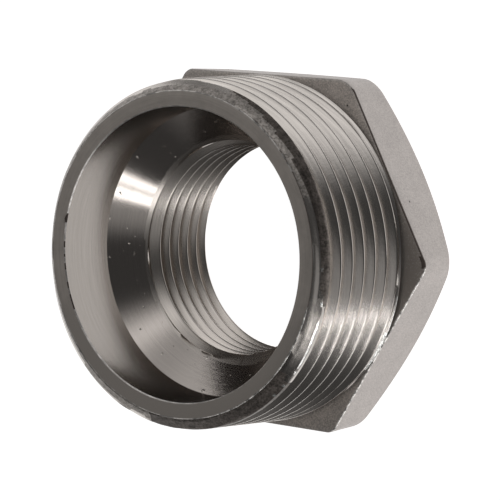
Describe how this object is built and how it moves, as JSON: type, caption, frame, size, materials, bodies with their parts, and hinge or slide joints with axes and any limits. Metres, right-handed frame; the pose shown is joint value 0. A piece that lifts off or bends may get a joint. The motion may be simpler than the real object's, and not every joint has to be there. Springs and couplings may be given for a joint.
{
  "type": "reducing hex bushing",
  "caption": "Hexagon-headed reducing bushing for pipe: a tapered outer thread, a smaller inner thread through the middle, and a counterbored mouth with a cone.",
  "frame": {"origin": "centre of the hexagon's end face, on the bore's axis, where the part stands", "axes": "+Z along the bore's axis from the hexagon to the end of the outer thread, and X through two of the hexagon's corners"},
  "size_m": [0.0484, 0.0426, 0.0236],
  "materials": {
    "steel": "cast stainless steel, matte hexagon flats, machined threads, face and bore"
  },
  "bodies": {
    "root": {"hex_bushing": "steel"}
  },
  "joints": []
}
